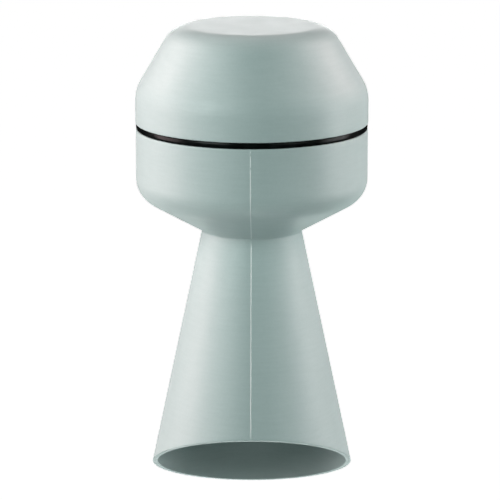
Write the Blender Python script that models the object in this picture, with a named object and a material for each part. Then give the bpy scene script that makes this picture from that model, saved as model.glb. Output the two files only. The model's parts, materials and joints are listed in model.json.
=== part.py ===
"""A screw-down mushroom-head cowl vent for a sloping cabin top. Metres, +Z up.

The origin is where the trunk's axis crosses the slanted plane of its mouth, and the
mouth's high side faces -Y. The vent is shut: the cap rests on its rubber seal. A knob in
the trunk turns a captive nut, and the nut raises a keyed spindle that carries the cap.
"""

import math

import bmesh
import bpy
from mathutils import Matrix, Vector

# Outer form of the body moulding: a flared trunk, a narrow neck and a wide drum
MOUTH_RADIUS = 0.0501  # outside, where the axis crosses the cut
MOUTH_SLANT = math.radians(26.2)
TRUNK_HEIGHT = 0.1195  # mouth to neck
NECK_RADIUS = 0.0248
NECK_FILLET = 0.0012
SHOULDER_HEIGHT = 0.0185  # neck to the drum's lower corner
DRUM_RADIUS = 0.0576
DRUM_CORNER_FILLET = 0.0136
DRUM_SIDE = 0.0326

# Outer form of the cap
CAP_OVERHANG = 0.0002  # past the drum's side
CAP_SKIRT = 0.0164
CAP_CREASE_FILLET = 0.0197
CAP_CROWN = 0.0319  # height of the cone above the skirt
CAP_TOP_RADIUS = 0.0389  # where the cone would meet the flat top
CAP_TOP_FILLET = 0.0146

# Walls and clearances
WALL = 0.0026
GAP = 0.0003  # between pieces that touch
SEAL_OPENING = 0.0031  # between the drum's rim and the cap's edge

# Rubber seal, clamped inside the cap's edge by a hoop
SEAL_RECESS = 0.0004
SEAL_LEG_THICKNESS = 0.0025
SEAL_LEG_HEIGHT = 0.0075
HOOP_THICKNESS = 0.0015
HOOP_HEIGHT = 0.0068

# Spindle: a screw with two flats along it, and its motion
SPINDLE_RADIUS = 0.005
SPINDLE_FLAT_DEPTH = 0.001
SPINDLE_TAIL = 0.003  # below the stop circlip's groove
LIFT = 0.015
CIRCLIP_THICKNESS = 0.0011
CIRCLIP_SLOT = math.radians(50)
STOP_COLLAR_HEIGHT = 0.004
STOP_COLLAR_WALL = 0.0018
STOP_GROOVE_DEPTH = 0.0008

# Cap's hub: boss, ribs, brass insert, washer and lock nut
BOSS_LENGTH = 0.0234
BOSS_WALL = 0.0022
INSERT_WALL = 0.0027
INSERT_LENGTH = 0.0177
INSERT_FLANGE = 0.002
RIB_COUNT = 6
RIB_THICKNESS = 0.002
RIB_FOOT = 0.002  # boss's end to the rib's lower edge
RIB_ON_SKIRT = 0.0042  # crease down to the rib's outer end
HUB_WASHER_WIDTH = 0.0042
HUB_WASHER_THICKNESS = 0.0012
LOCK_NUT_WALL = 0.0032
LOCK_NUT_HEIGHT = 0.0065

# Throat sleeve: tube through the neck, with a flange, four ears and a braced hub
SEAT_STEP = 0.0052  # from the neck's outside to the seat's edge
SLEEVE_WALL = 0.002
SLEEVE_SPIGOT = 0.0135  # below the neck
UPSTAND_HEIGHT = 0.0346  # above the seat
GASKET_THICKNESS = 0.0015
GASKET_MARGIN = 0.0015  # seat's edge to the gasket's
FLANGE_THICKNESS = 0.0025
EAR_COUNT = 4
EAR_HALF_WIDTH = 0.0055
EAR_THICKNESS = 0.003
PILLAR_SPACE = 0.003  # between the flange and each pillar
PILLAR_RADIUS = 0.0045
PILLAR_HEIGHT = 0.0126  # above the seat
PILLAR_HOLE_DEPTH = 0.008
HUB_WALL = 0.0027
HUB_KEY_PLATE = 0.006
HUB_TOP = 0.005  # above the ears
ARM_THICKNESS = 0.003
ARM_INSET = 0.002  # hub's end faces to the arms' edges

# Drive nut, its washers and the tube down to the knob
NUT_COLLAR_STEP = 0.0018  # past the nut's neck
NUT_COLLAR_HEIGHT = 0.0052
NUT_NECK_WALL = 0.0019
NUT_NECK_HEIGHT = 0.0154
THRUST_WASHER_THICKNESS = 0.0008
TUBE_WALL = 0.0015
TUBE_OVERLAP = 0.0085  # of the tube on the nut's neck
GRUB_RADIUS = 0.0015
GRUB_BITE = 0.0007  # into the nut's neck

# Knob inside the trunk
KNOB_RADIUS = 0.020
KNOB_HEIGHT = 0.018
KNOB_BOTTOM = 0.028  # above the mouth's centre
KNOB_EDGE = 0.0015
KNOB_LOBES = 8
KNOB_FLUTE = 0.0022
KNOB_HUB_WALL = 0.0037
KNOB_HUB_HEIGHT = 0.008
KNOB_WEB = 0.0022
KNOB_CAP_RADIUS = 0.010
KNOB_CAP_THICKNESS = 0.0024
PIN_RADIUS = 0.0015

# Insect screen on the upstand
SCREEN_THICKNESS = 0.0008
SCREEN_SPOKES = 12
SCREEN_SPOKE_WIDTH = 0.0010
SCREEN_HUB_WIDTH = 0.0016
SCREEN_BAR_WIDTH = 0.0010
SCREEN_RIM_WIDTH = 0.0020
SCREEN_PLAY = 0.0008  # round the spindle
SCREEN_RING_WALL = 0.0018
SCREEN_RING_LIP = 0.0016
SCREEN_RING_SKIRT = 0.008
SCREEN_RING_COVER = 0.001  # of the lip past the upstand's bore

# Fasteners and drains
SCREW_RADIUS = 0.0016
SCREW_HEAD_RADIUS = 0.0036
SCREW_HEAD_HEIGHT = 0.0023
SCREW_RECESS_WIDTH = 0.0008
SCREW_RECESS_SPAN = 0.0036
SCREW_RECESS_DEPTH = 0.0012
SCREW_WASHER_RADIUS = 0.0042
SCREW_WASHER_THICKNESS = 0.0008
DRAIN_COUNT = 2
DRAIN_RADIUS = 0.002
DRAIN_SPREAD = math.radians(50)

# Facets
SHELL_SEGMENTS = 48
FIT_SEGMENTS = 32
SMALL_SEGMENTS = 16
ARC_STEP = math.radians(13)
SHARP_ANGLE = math.radians(35)

# Levels and radii that follow from the sizes above
NECK_Z = TRUNK_HEIGHT
DRUM_CORNER_Z = NECK_Z + SHOULDER_HEIGHT
DRUM_TOP_Z = DRUM_CORNER_Z + DRUM_SIDE
CAP_EDGE_Z = DRUM_TOP_Z + SEAL_OPENING
CAP_CREASE_Z = CAP_EDGE_Z + CAP_SKIRT
CAP_TOP_Z = CAP_CREASE_Z + CAP_CROWN
CAP_RADIUS = DRUM_RADIUS + CAP_OVERHANG
FLARE = math.atan2(MOUTH_RADIUS - NECK_RADIUS, TRUNK_HEIGHT)
FLOOR_SLOPE = math.atan2(SHOULDER_HEIGHT, DRUM_RADIUS - NECK_RADIUS)
NECK_BORE = NECK_RADIUS - WALL
SEAT_RADIUS = NECK_RADIUS + SEAT_STEP


def floor_height(radius, depth=WALL):
    """Height over the drum's sloping underside, at this depth into its wall."""
    rise = (radius - NECK_RADIUS) * math.tan(FLOOR_SLOPE)
    return NECK_Z + rise + depth / math.cos(FLOOR_SLOPE)


SEAT_Z = floor_height(SEAT_RADIUS)
FLANGE_RADIUS = SEAT_RADIUS - GASKET_MARGIN
FLANGE_Z = SEAT_Z + 2 * GAP + GASKET_THICKNESS
PILLAR_CIRCLE = FLANGE_RADIUS + PILLAR_SPACE + PILLAR_RADIUS
EAR_Z = SEAT_Z + PILLAR_HEIGHT + GAP
EAR_TOP_Z = EAR_Z + EAR_THICKNESS
UPSTAND_Z = SEAT_Z + UPSTAND_HEIGHT
SLEEVE_RADIUS = NECK_BORE - GAP
SLEEVE_BORE = SLEEVE_RADIUS - SLEEVE_WALL
SPINDLE_BORE = SPINDLE_RADIUS + GAP
SPINDLE_FLAT = SPINDLE_RADIUS - SPINDLE_FLAT_DEPTH  # axis to flat
NUT_NECK_RADIUS = SPINDLE_BORE + NUT_NECK_WALL
NUT_COLLAR_RADIUS = NUT_NECK_RADIUS + NUT_COLLAR_STEP
COUNTERBORE = NUT_COLLAR_RADIUS + GAP
HUB_RADIUS = COUNTERBORE + HUB_WALL
HUB_TOP_Z = EAR_TOP_Z + HUB_TOP
NUT_CEILING_Z = HUB_TOP_Z - HUB_KEY_PLATE
UPPER_WASHER_Z = NUT_CEILING_Z - GAP - THRUST_WASHER_THICKNESS
NUT_TOP_Z = UPPER_WASHER_Z - GAP
NUT_SHOULDER_Z = NUT_TOP_Z - NUT_COLLAR_HEIGHT
LOWER_WASHER_Z = NUT_SHOULDER_Z - GAP - THRUST_WASHER_THICKNESS
NUT_CIRCLIP_Z = LOWER_WASHER_Z - GAP - CIRCLIP_THICKNESS
NUT_CIRCLIP_GROOVE = COUNTERBORE + CIRCLIP_THICKNESS
HUB_BOTTOM_Z = NUT_CIRCLIP_Z - GAP - HUB_WALL / 2
NUT_BOTTOM_Z = NUT_SHOULDER_Z - NUT_NECK_HEIGHT
TUBE_BORE = NUT_NECK_RADIUS + GAP
TUBE_RADIUS = TUBE_BORE + TUBE_WALL
TUBE_TOP_Z = NUT_BOTTOM_Z + TUBE_OVERLAP
GRUB_Z = NUT_BOTTOM_Z + TUBE_OVERLAP / 2
KNOB_CAP_Z = KNOB_BOTTOM + GAP
KNOB_BORE_Z = KNOB_CAP_Z + KNOB_CAP_THICKNESS + GAP + KNOB_WEB
TUBE_BOTTOM_Z = KNOB_BORE_Z + GAP
KNOB_TOP_Z = KNOB_BOTTOM + KNOB_HEIGHT
KNOB_HUB_RADIUS = TUBE_RADIUS + GAP + KNOB_HUB_WALL
PIN_Z = KNOB_TOP_Z + KNOB_HUB_HEIGHT / 2
STOP_COLLAR_Z = NUT_BOTTOM_Z - GAP - LIFT - STOP_COLLAR_HEIGHT
STOP_CIRCLIP_Z = STOP_COLLAR_Z - GAP - CIRCLIP_THICKNESS
SPINDLE_BOTTOM_Z = STOP_CIRCLIP_Z - SPINDLE_TAIL
BOSS_Z = CAP_TOP_Z - WALL - BOSS_LENGTH
INSERT_RADIUS = SPINDLE_BORE + INSERT_WALL
BOSS_BORE = INSERT_RADIUS + GAP
BOSS_RADIUS = BOSS_BORE + BOSS_WALL
INSERT_TOP_Z = BOSS_Z + INSERT_LENGTH
INSERT_BOTTOM_Z = BOSS_Z - GAP - INSERT_FLANGE
HUB_WASHER_Z = INSERT_BOTTOM_Z - GAP - HUB_WASHER_THICKNESS
LOCK_NUT_Z = HUB_WASHER_Z - GAP - LOCK_NUT_HEIGHT
SEAL_LEG_OUTER = CAP_RADIUS - WALL - GAP
SEAL_LEG_INNER = SEAL_LEG_OUTER - SEAL_LEG_THICKNESS
SCREEN_Z = UPSTAND_Z + GAP
SCREEN_RADIUS = SLEEVE_RADIUS - GAP
SCREW_HOLE = SCREW_RADIUS + GAP
SCREW_WASHER_Z = EAR_TOP_Z + GAP
SCREW_HEAD_Z = SCREW_WASHER_Z + SCREW_WASHER_THICKNESS + GAP
SCREW_TIP_Z = SEAT_Z + PILLAR_HEIGHT - PILLAR_HOLE_DEPTH + GAP

FULL_TURN = 2 * math.pi
SIDEWAYS = Matrix.Rotation(math.pi / 2, 4, "Y")
UPRIGHT = Matrix.Rotation(math.pi / 2, 4, "X")


# Outlines


def rounded(corners):
    """An open path through (radius, height, fillet) corners, with each fillet as an arc."""
    points = [Vector(corners[0][:2])]
    for before, here, after in zip(corners, corners[1:], corners[2:]):
        corner = Vector(here[:2])
        back = Vector(before[:2]) - corner
        ahead = Vector(after[:2]) - corner
        half = back.angle(ahead) / 2
        reach = min(here[2] / math.tan(half), back.length / 2, ahead.length / 2)
        if reach == 0:
            points.append(corner)
            continue
        radius = reach * math.tan(half)
        back.normalize()
        ahead.normalize()
        centre = corner + (back + ahead).normalized() * radius / math.sin(half)
        start = (corner + back * reach - centre).normalized()
        end = (corner + ahead * reach - centre).normalized()
        steps = math.ceil((math.pi - 2 * half) / ARC_STEP)
        points += [centre + start.slerp(end, i / steps) * radius for i in range(steps + 1)]
    points.append(Vector(corners[-1][:2]))
    return [tuple(point) for point in points]


def inset(corners, depth):
    """The same open path moved to its right by depth, its outward fillets reduced with it."""
    rights = []
    for here, after in zip(corners, corners[1:]):
        along = (Vector(after[:2]) - Vector(here[:2])).normalized()
        rights.append(Vector((along.y, -along.x)))
    moved = [(*(Vector(corners[0][:2]) + rights[0] * depth), 0)]
    for corner, right, next_right in zip(corners[1:], rights, rights[1:]):
        shift = (right + next_right) * depth / (1 + right.dot(next_right))
        moved.append((*(Vector(corner[:2]) + shift), max(0, corner[2] - depth)))
    moved.append((*(Vector(corners[-1][:2]) + rights[-1] * depth), 0))
    return moved


def double_d(radius, flat):
    """A round outline with two opposite flats, each at this distance from its centre."""
    half = math.asin(flat / radius)
    steps = FIT_SEGMENTS // 4
    outline = []
    for middle in (0, math.pi):
        angles = [middle + half * (2 * i / steps - 1) for i in range(steps + 1)]
        outline += [(radius * math.cos(angle), radius * math.sin(angle)) for angle in angles]
    return outline


def circle(radius, centre=(0, 0), segments=SMALL_SEGMENTS):
    angles = [FULL_TURN * i / segments for i in range(segments)]
    return [(centre[0] + radius * math.cos(a), centre[1] + radius * math.sin(a)) for a in angles]


def around(count, start=0.0):
    """Placements at equal angles round the Z axis."""
    return [Matrix.Rotation(start + FULL_TURN * i / count, 4, "Z") for i in range(count)]


# Solids, added to a bmesh


def add_turned(mesh, profile, segments=FIT_SEGMENTS, place=Matrix(), sweep=FULL_TURN):
    """Adds the (radius, height) section turned about Z, a full turn or part of one."""
    whole = sweep == FULL_TURN
    columns = segments if whole else segments + 1
    angles = [sweep * i / segments for i in range(columns)]
    rings = []
    for radius, height in profile:
        if radius == 0:
            rings.append([mesh.verts.new(place @ Vector((0, 0, height)))] * columns)
            continue
        points = [Vector((radius * math.cos(a), radius * math.sin(a), height)) for a in angles]
        rings.append([mesh.verts.new(place @ point) for point in points])
    for ring, following in zip(rings, rings[1:] + rings[:1]):
        for i in range(segments):
            j = (i + 1) % columns
            corners = list(dict.fromkeys((ring[i], ring[j], following[j], following[i])))
            if len(corners) > 2:
                mesh.faces.new(corners)
    if not whole:
        mesh.faces.new([ring[0] for ring in rings])
        mesh.faces.new([ring[-1] for ring in rings])


def add_prism(mesh, outline, low, high, place=Matrix()):
    """Adds a flat outline extruded from low to high. Either may be a function of the point."""
    rings = []
    for level in (low, high):
        ring = []
        for x, y in outline:
            height = level(x, y) if callable(level) else level
            ring.append(mesh.verts.new(place @ Vector((x, y, height))))
        mesh.faces.new(ring)
        rings.append(ring)
    for i in range(len(outline)):
        j = (i + 1) % len(outline)
        mesh.faces.new((rings[0][i], rings[0][j], rings[1][j], rings[1][i]))


def add_rod(mesh, radius, low, high, segments=SMALL_SEGMENTS, place=Matrix()):
    add_turned(mesh, [(0, low), (radius, low), (radius, high), (0, high)], segments, place)


def tube_section(inner, outer, low, high):
    return [(inner, low), (outer, low), (outer, high), (inner, high)]


# Objects


def plastic(name, colour, roughness, metallic=0.0):
    material = bpy.data.materials.new(name)
    material.use_nodes = True
    shader = material.node_tree.nodes["Principled BSDF"]
    shader.inputs["Base Color"].default_value = (*colour, 1)
    shader.inputs["Roughness"].default_value = roughness
    shader.inputs["Metallic"].default_value = metallic
    material.diffuse_color = (*colour, 1)
    return material


def solid(name, mesh, material=None, parent=None):
    """Turns the bmesh into an object whose faces point out."""
    bmesh.ops.recalc_face_normals(mesh, faces=mesh.faces)
    data = bpy.data.meshes.new(name)
    mesh.to_mesh(data)
    mesh.free()
    data.shade_smooth()
    data.set_sharp_from_angle(angle=SHARP_ANGLE)
    piece = bpy.data.objects.new(name, data)
    if material:
        data.materials.append(material)
    piece.parent = parent
    if parent:
        piece.matrix_parent_inverse = Matrix.Translation(-parent.location)
    bpy.context.collection.objects.link(piece)
    return piece


def turned_piece(name, profile, material, parent=None, segments=FIT_SEGMENTS):
    mesh = bmesh.new()
    add_turned(mesh, profile, segments)
    return solid(name, mesh, material, parent)


def combine(piece, operation, name, mesh):
    """Joins or cuts the piece with a helper solid, which stays in the file as a guide."""
    helper = solid(name, mesh)
    helper.hide_render = True
    helper.display_type = "WIRE"
    modifier = piece.modifiers.new(name, "BOOLEAN")
    modifier.operation = operation
    modifier.solver = "EXACT"
    modifier.object = helper


def axis_empty(name, height):
    empty = bpy.data.objects.new(name, None)
    empty.location = (0, 0, height)
    empty.empty_display_size = CAP_RADIUS
    bpy.context.collection.objects.link(empty)
    return empty


# Fixed pieces


def body_moulding(material):
    """Drum, neck and trunk in one moulding, with pillars and drains in the drum's floor."""
    outer = [
        (DRUM_RADIUS, DRUM_TOP_Z, 0),
        (DRUM_RADIUS, DRUM_CORNER_Z, DRUM_CORNER_FILLET),
        (NECK_RADIUS, NECK_Z, NECK_FILLET),
        (MOUTH_RADIUS, 0, 0),
    ]
    rim, corner, _, mouth = inset(outer, WALL)
    neck_end = (mouth[0] - NECK_BORE) / math.tan(FLARE) + mouth[1]
    inner = rounded([rim, corner, (SEAT_RADIUS, SEAT_Z, 0)])
    inner += [(NECK_BORE, SEAT_Z), (NECK_BORE, neck_end), mouth[:2]]
    mesh = bmesh.new()
    add_turned(mesh, rounded(outer) + inner[::-1], SHELL_SEGMENTS)
    cut_mouth(mesh)
    body = solid("body_moulding", mesh, material)
    pillars = bmesh.new()
    holes = bmesh.new()
    pillar_top = SEAT_Z + PILLAR_HEIGHT
    for place in around(EAR_COUNT, math.pi / EAR_COUNT):
        centre = place @ Vector((PILLAR_CIRCLE, 0, 0))
        add_prism(pillars, circle(PILLAR_RADIUS, centre), in_floor, pillar_top)
        add_prism(holes, circle(SCREW_HOLE, centre), pillar_top - PILLAR_HOLE_DEPTH, pillar_top + WALL)
    for i in range(DRAIN_COUNT):
        azimuth = math.pi / 2 + DRAIN_SPREAD * (i / (DRAIN_COUNT - 1) - 0.5)
        centre = Matrix.Rotation(azimuth, 4, "Z") @ Vector((SEAT_RADIUS + 1.5 * DRAIN_RADIUS, 0, 0))
        add_prism(holes, circle(DRAIN_RADIUS, centre), NECK_Z, SEAT_Z + PILLAR_HEIGHT)
    combine(body, "UNION", "pillars", pillars)
    combine(body, "DIFFERENCE", "floor_holes", holes)


def cut_mouth(mesh):
    """Slides the trunk's lowest rings along its wall to the slanted cut."""
    for vertex in mesh.verts:
        if vertex.co.z < GAP:
            radius = math.hypot(vertex.co.x, vertex.co.y)
            straight = radius + vertex.co.z * math.tan(FLARE)
            rise = math.tan(FLARE) * math.tan(MOUTH_SLANT) * vertex.co.y / radius
            scale = straight / (1 - rise) / radius
            vertex.co.x *= scale
            vertex.co.y *= scale
            vertex.co.z = -vertex.co.y * math.tan(MOUTH_SLANT)


def in_floor(x, y):
    return floor_height(math.hypot(x, y), WALL / 2)


def throat_sleeve(material):
    """Tube through the neck, standing up in the drum, with ears outside and a hub inside."""
    low = NECK_Z - SLEEVE_SPIGOT
    profile = [
        (SLEEVE_BORE, low),
        (SLEEVE_RADIUS, low),
        (SLEEVE_RADIUS, FLANGE_Z),
        (FLANGE_RADIUS, FLANGE_Z),
        (FLANGE_RADIUS, FLANGE_Z + FLANGE_THICKNESS),
        (SLEEVE_RADIUS, FLANGE_Z + FLANGE_THICKNESS),
        (SLEEVE_RADIUS, UPSTAND_Z),
        (SLEEVE_BORE, UPSTAND_Z),
    ]
    sleeve = turned_piece("throat_sleeve", profile, material, segments=SHELL_SEGMENTS)
    mid_wall = (SLEEVE_BORE + SLEEVE_RADIUS) / 2
    hub_section = [
        (0, HUB_TOP_Z),
        (HUB_RADIUS, HUB_TOP_Z),
        (HUB_RADIUS, HUB_BOTTOM_Z),
        (COUNTERBORE, HUB_BOTTOM_Z),
        (COUNTERBORE, NUT_CIRCLIP_Z - GAP),
        (NUT_CIRCLIP_GROOVE, NUT_CIRCLIP_Z - GAP),
        (NUT_CIRCLIP_GROOVE, NUT_CIRCLIP_Z + CIRCLIP_THICKNESS + GAP),
        (COUNTERBORE, NUT_CIRCLIP_Z + CIRCLIP_THICKNESS + GAP),
        (COUNTERBORE, NUT_CEILING_Z),
        (0, NUT_CEILING_Z),
    ]
    arm_start = (COUNTERBORE + HUB_RADIUS) / 2
    arm = [
        (arm_start, HUB_BOTTOM_Z + ARM_INSET),
        (mid_wall, HUB_BOTTOM_Z + ARM_INSET),
        (mid_wall, HUB_TOP_Z - ARM_INSET),
        (arm_start, HUB_TOP_Z - ARM_INSET),
    ]
    ear = [(mid_wall, -EAR_HALF_WIDTH)]
    for i in range(SMALL_SEGMENTS // 2 + 1):
        angle = FULL_TURN * i / SMALL_SEGMENTS - math.pi / 2
        ear.append((PILLAR_CIRCLE + EAR_HALF_WIDTH * math.cos(angle), EAR_HALF_WIDTH * math.sin(angle)))
    ear.append((mid_wall, EAR_HALF_WIDTH))
    hub = bmesh.new()
    arms = bmesh.new()
    ears = bmesh.new()
    holes = bmesh.new()
    add_turned(hub, hub_section)
    add_prism(
        holes, double_d(SPINDLE_BORE, SPINDLE_FLAT + GAP), NUT_CEILING_Z - WALL, HUB_TOP_Z + WALL
    )
    for place in around(EAR_COUNT, math.pi / EAR_COUNT):
        add_prism(arms, arm, -ARM_THICKNESS / 2, ARM_THICKNESS / 2, place @ UPRIGHT)
        add_prism(ears, ear, EAR_Z, EAR_TOP_Z, place)
        centre = place @ Vector((PILLAR_CIRCLE, 0, 0))
        add_prism(holes, circle(SCREW_HOLE, centre), EAR_Z - WALL, EAR_TOP_Z + WALL)
    combine(sleeve, "UNION", "sleeve_arms", arms)
    combine(sleeve, "UNION", "sleeve_hub", hub)
    combine(sleeve, "UNION", "sleeve_ears", ears)
    combine(sleeve, "DIFFERENCE", "sleeve_holes", holes)


def screen_cells():
    """Radii and angles of the screen's grid, and a test that says which cells are solid."""
    inner = SPINDLE_RADIUS + SCREEN_PLAY
    middle = (inner + SCREEN_HUB_WIDTH + SCREEN_RADIUS - SCREEN_RIM_WIDTH - SCREEN_BAR_WIDTH) / 2
    radii = [
        inner,
        inner + SCREEN_HUB_WIDTH,
        middle,
        middle + SCREEN_BAR_WIDTH,
        SCREEN_RADIUS - SCREEN_RIM_WIDTH,
        SCREEN_RADIUS,
    ]
    columns = 3 * SCREEN_SPOKES

    def is_solid(row, column):
        return 0 <= row < len(radii) - 1 and (row % 2 == 0 or column % 3 == 0)

    return radii, columns, is_solid


def insect_screen(material):
    """A flat grille with a clear hole for the spindle."""
    radii, columns, is_solid = screen_cells()
    pitch = FULL_TURN / SCREEN_SPOKES
    mesh = bmesh.new()
    levels = []
    for height in (SCREEN_Z, SCREEN_Z + SCREEN_THICKNESS):
        grid = []
        for radius in radii:
            half = math.asin(SCREEN_SPOKE_WIDTH / 2 / radius)
            angles = [
                pitch * spoke + offset
                for spoke in range(SCREEN_SPOKES)
                for offset in (-half, half, pitch / 2)
            ]
            grid.append([mesh.verts.new((radius * math.cos(a), radius * math.sin(a), height)) for a in angles])
        levels.append(grid)
    low, high = levels
    for row in range(len(radii) - 1):
        for column in range(columns):
            if not is_solid(row, column):
                continue
            after = (column + 1) % columns
            cell = ((row, column), (row, after), (row + 1, after), (row + 1, column))
            for grid in levels:
                mesh.faces.new([grid[i][j] for i, j in cell])
            neighbours = ((row - 1, column), (row, after), (row + 1, column), (row, column - 1))
            for side, neighbour in enumerate(neighbours):
                if not is_solid(neighbour[0], neighbour[1] % columns):
                    a, b = cell[side], cell[(side + 1) % 4]
                    mesh.faces.new((low[a[0]][a[1]], low[b[0]][b[1]], high[b[0]][b[1]], high[a[0]][a[1]]))
    solid("insect_screen", mesh, material)


def screen_ring(material):
    """Snap ring over the upstand, with a lip that holds the insect screen down."""
    inner = SLEEVE_RADIUS + GAP
    outer = inner + SCREEN_RING_WALL
    lip_z = SCREEN_Z + SCREEN_THICKNESS + GAP
    profile = [
        (inner, lip_z - SCREEN_RING_SKIRT),
        (outer, lip_z - SCREEN_RING_SKIRT),
        (outer, lip_z + SCREEN_RING_LIP),
        (SLEEVE_BORE - SCREEN_RING_COVER, lip_z + SCREEN_RING_LIP),
        (SLEEVE_BORE - SCREEN_RING_COVER, lip_z),
        (inner, lip_z),
    ]
    turned_piece("screen_ring", profile, material, segments=SHELL_SEGMENTS)


def screw_mesh():
    """A pan-head screw with a cross recess, its origin under the head."""
    mesh = bmesh.new()
    tip = SCREW_TIP_Z - SCREW_HEAD_Z
    section = [
        (0, tip),
        (SCREW_RADIUS / 2, tip),
        (SCREW_RADIUS, tip + SCREW_RADIUS / 2),
        (SCREW_RADIUS, 0),
        (SCREW_HEAD_RADIUS, 0),
        (SCREW_HEAD_RADIUS, SCREW_HEAD_HEIGHT / 2),
        (SCREW_HEAD_RADIUS - SCREW_HEAD_HEIGHT / 2, SCREW_HEAD_HEIGHT),
        (0, SCREW_HEAD_HEIGHT),
    ]
    add_turned(mesh, section, SMALL_SEGMENTS)
    return mesh


def cross_recess():
    mesh = bmesh.new()
    arm = SCREW_RECESS_SPAN / 2
    half = SCREW_RECESS_WIDTH / 2
    outline = []
    for place in around(4):
        for x, y in ((arm, -half), (arm, half), (half, half)):
            point = place @ Vector((x, y, 0))
            outline.append((point.x, point.y))
    add_prism(mesh, outline, SCREW_HEAD_HEIGHT - SCREW_RECESS_DEPTH, SCREW_HEAD_HEIGHT + SCREW_RECESS_DEPTH)
    return mesh


def sleeve_fasteners(material):
    """A screw and a washer for each ear."""
    for number, place in enumerate(around(EAR_COUNT, math.pi / EAR_COUNT), 1):
        spot = place @ Vector((PILLAR_CIRCLE, 0, SCREW_HEAD_Z))
        screw = solid(f"sleeve_screw_{number}", screw_mesh(), material)
        combine(screw, "DIFFERENCE", f"screw_recess_{number}", cross_recess())
        screw.location = spot
        screw.modifiers[0].object.location = spot
        section = tube_section(SCREW_HOLE, SCREW_WASHER_RADIUS, 0, SCREW_WASHER_THICKNESS)
        washer = turned_piece(f"sleeve_washer_{number}", section, material, segments=SMALL_SEGMENTS)
        washer.location = (spot.x, spot.y, SCREW_WASHER_Z)


def nut_circlip(material):
    """Spring ring in the hub's groove, under the drive nut."""
    mesh = bmesh.new()
    section = tube_section(
        NUT_NECK_RADIUS + 2 * GAP, NUT_CIRCLIP_GROOVE - GAP, NUT_CIRCLIP_Z, NUT_CIRCLIP_Z + CIRCLIP_THICKNESS
    )
    add_turned(mesh, section, FIT_SEGMENTS, sweep=FULL_TURN - CIRCLIP_SLOT)
    solid("nut_circlip", mesh, material)


# Pieces that turn with the knob


def drive_nut(material, parent):
    """Flanged nut, captive in the sleeve's hub, with two dimples for the grub screws."""
    section = [
        (SPINDLE_BORE, NUT_BOTTOM_Z),
        (NUT_NECK_RADIUS, NUT_BOTTOM_Z),
        (NUT_NECK_RADIUS, NUT_SHOULDER_Z),
        (NUT_COLLAR_RADIUS, NUT_SHOULDER_Z),
        (NUT_COLLAR_RADIUS, NUT_TOP_Z),
        (SPINDLE_BORE, NUT_TOP_Z),
    ]
    nut = turned_piece("drive_nut", section, material, parent)
    combine(nut, "DIFFERENCE", "nut_dimples", grub_holes(NUT_NECK_RADIUS - GRUB_BITE - GAP))


def grub_holes(depth):
    """A cutter for both grub screws' holes, each ending this far from the axis."""
    mesh = bmesh.new()
    for place in around(2):
        level = Matrix.Translation((0, 0, GRUB_Z)) @ place @ SIDEWAYS
        add_rod(mesh, GRUB_RADIUS + GAP, depth, TUBE_RADIUS + WALL, place=level)
    return mesh


def drive_tube(material, parent):
    """Tube between the nut and the knob. The spindle's lower end travels inside it."""
    section = tube_section(TUBE_BORE, TUBE_RADIUS, TUBE_BOTTOM_Z, TUBE_TOP_Z)
    tube = turned_piece("drive_tube", section, material, parent)
    combine(tube, "DIFFERENCE", "tube_grub_holes", grub_holes(NUT_NECK_RADIUS))
    combine(tube, "DIFFERENCE", "tube_pin_hole", pin_hole())


def pin_hole():
    mesh = bmesh.new()
    level = Matrix.Translation((0, 0, PIN_Z)) @ SIDEWAYS
    reach = KNOB_HUB_RADIUS + WALL
    add_rod(mesh, PIN_RADIUS + GAP, -reach, reach, place=level)
    return mesh


def drive_fasteners(material, parent):
    """Grub screws between tube and nut, the knob's cross pin and the nut's two washers."""
    for number, place in enumerate(around(2), 1):
        mesh = bmesh.new()
        level = Matrix.Translation((0, 0, GRUB_Z)) @ place @ SIDEWAYS
        add_rod(mesh, GRUB_RADIUS, NUT_NECK_RADIUS - GRUB_BITE, TUBE_RADIUS, place=level)
        solid(f"tube_grub_screw_{number}", mesh, material, parent)
    mesh = bmesh.new()
    level = Matrix.Translation((0, 0, PIN_Z)) @ SIDEWAYS
    reach = KNOB_HUB_RADIUS - GAP
    add_rod(mesh, PIN_RADIUS, -reach, reach, place=level)
    solid("knob_pin", mesh, material, parent)


def thrust_washers(material, parent):
    upper = tube_section(
        SPINDLE_BORE, NUT_COLLAR_RADIUS, UPPER_WASHER_Z, UPPER_WASHER_Z + THRUST_WASHER_THICKNESS
    )
    lower = tube_section(
        TUBE_BORE, NUT_COLLAR_RADIUS, LOWER_WASHER_Z, LOWER_WASHER_Z + THRUST_WASHER_THICKNESS
    )
    turned_piece("upper_thrust_washer", upper, material, parent)
    turned_piece("lower_thrust_washer", lower, material, parent)


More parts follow.
